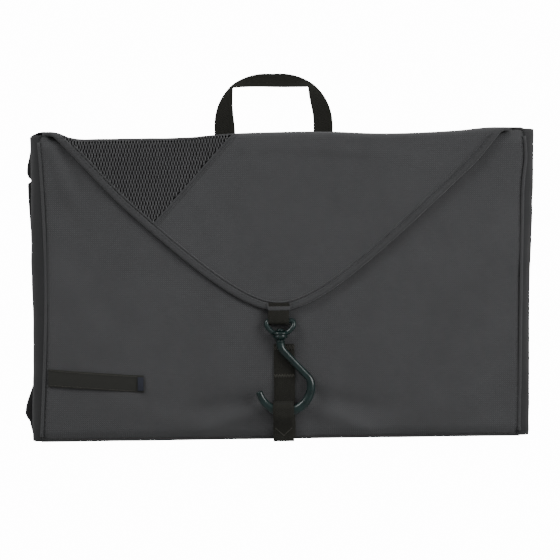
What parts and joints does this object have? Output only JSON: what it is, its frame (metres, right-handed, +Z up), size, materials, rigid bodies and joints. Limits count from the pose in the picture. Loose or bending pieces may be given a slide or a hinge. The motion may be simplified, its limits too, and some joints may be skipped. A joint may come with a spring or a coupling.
{
  "type": "hanging toiletry bag",
  "caption": "Wide fold-up hanging toiletry bag with zipped mesh pockets, an envelope flap, a swivel hook held in a webbing keeper, and a webbing carry handle.",
  "frame": {"origin": "middle of the bottom face of the closed bag, at the middle of its width and its depth", "axes": "+Z up, -Y to the front where the flap and the hook are, +X to the right seen from the front"},
  "size_m": [0.356, 0.053, 0.2622],
  "materials": {
    "shell_fabric": "charcoal ripstop weave, matt",
    "gusset_fabric": "dark ribbed binding and gusset weave",
    "lining": "smooth dark lining",
    "foam": "thin closed-cell foam sheet",
    "mesh": "open knitted mesh",
    "webbing": "tight nylon webbing",
    "label": "woven label strip, blank",
    "hook_plastic": "glossy moulded dark green-black",
    "zip_tape": "woven zip tape",
    "zip_coil": "nylon coil",
    "slider_metal": "black enamelled"
  },
  "bodies": {
    "bag": {"rear_panel": "shell_fabric", "rear_foam": "foam", "rear_lining": "lining", "rear_gusset": "gusset_fabric", "upper_band": "shell_fabric", "upper_mesh": "mesh", "upper_zip_tape": "zip_tape", "upper_zip_coil": "zip_coil", "handle_anchors": "webbing", "base_fold_strip": "shell_fabric", "front_panel": "shell_fabric", "front_foam": "foam", "front_lining": "lining", "front_gusset": "gusset_fabric", "front_piping": "gusset_fabric", "front_strap": "webbing", "strap_bartacks": "webbing", "side_label": "label", "lower_band": "shell_fabric", "lower_mesh_left": "mesh", "lower_mesh_right": "mesh", "pocket_divider": "lining", "left_zip_tape": "zip_tape", "left_zip_coil": "zip_coil", "right_zip_tape": "zip_tape", "right_zip_coil": "zip_coil", "keeper_loop": "webbing"},
    "top_strip": {"top_fold_strip": "shell_fabric"},
    "flap": {"flap_panel": "shell_fabric", "flap_mesh": "mesh", "flap_foam": "foam", "flap_lining": "lining", "flap_binding": "gusset_fabric", "hook_tab": "webbing"},
    "ring": {"swivel_ring": "hook_plastic"},
    "hook": {"swivel_pin": "hook_plastic", "swing_hook": "hook_plastic"},
    "handle": {"carry_handle": "webbing"},
    "upper_slider": {"upper_zip_slider": "slider_metal"},
    "upper_pull": {"upper_zip_pull": "slider_metal"},
    "left_slider": {"left_zip_slider": "slider_metal"},
    "left_pull": {"left_zip_pull": "slider_metal"},
    "right_slider": {"right_zip_slider": "slider_metal"},
    "right_pull": {"right_zip_pull": "slider_metal"}
  },
  "joints": [
    {"name": "top_fold", "type": "hinge", "parent": "bag", "child": "top_strip", "pos_m": [0, 0.021, 0.22], "axis": [-1, 0, 0], "range_deg": [0, 90], "deforming": ["keeper_loop"]},
    {"name": "flap_fold", "type": "hinge", "parent": "top_strip", "child": "flap", "pos_m": [0, -0.02434, 0.22], "axis": [-1, 0, 0], "range_deg": [0, 90]},
    {"name": "ring_tilt", "type": "hinge", "parent": "flap", "child": "ring", "pos_m": [-0.0005, -0.0242, 0.085], "axis": [-1, 0, 0], "range_deg": [0, 100]},
    {"name": "hook_swivel", "type": "hinge", "parent": "ring", "child": "hook", "pos_m": [-0.0005, -0.026, 0.0745], "axis": [0, 0, 1], "range_deg": [0, 90]},
    {"name": "handle_fold", "type": "hinge", "parent": "bag", "child": "handle", "pos_m": [-0.0035, 0.0219, 0.22], "axis": [-1, 0, 0], "range_deg": [0, 90]},
    {"name": "upper_zip_slide", "type": "slide", "parent": "bag", "child": "upper_slider", "axis": [-1, 0, 0], "range_m": [0, 0.31]},
    {"name": "upper_pull_swing", "type": "hinge", "parent": "upper_slider", "child": "upper_pull", "pos_m": [0.157, 0.002, 0.176], "axis": [0, 1, 0], "range_deg": [-70, 70]},
    {"name": "left_zip_slide", "type": "slide", "parent": "bag", "child": "left_slider", "axis": [1, 0, 0], "range_m": [0, 0.135]},
    {"name": "left_pull_swing", "type": "hinge", "parent": "left_slider", "child": "left_pull", "pos_m": [-0.157, -0.002, 0.038], "axis": [0, 1, 0], "range_deg": [-70, 70]},
    {"name": "right_zip_slide", "type": "slide", "parent": "bag", "child": "right_slider", "axis": [-1, 0, 0], "range_m": [0, 0.135]},
    {"name": "right_pull_swing", "type": "hinge", "parent": "right_slider", "child": "right_pull", "pos_m": [0.157, -0.002, 0.038], "axis": [0, 1, 0], "range_deg": [-70, 70]}
  ],
  "couplings": [
    {"joint": "flap_fold", "follows": "top_fold", "ratio": 1},
    {"joint": "hook_swivel", "follows": "top_fold", "ratio": 1}
  ]
}
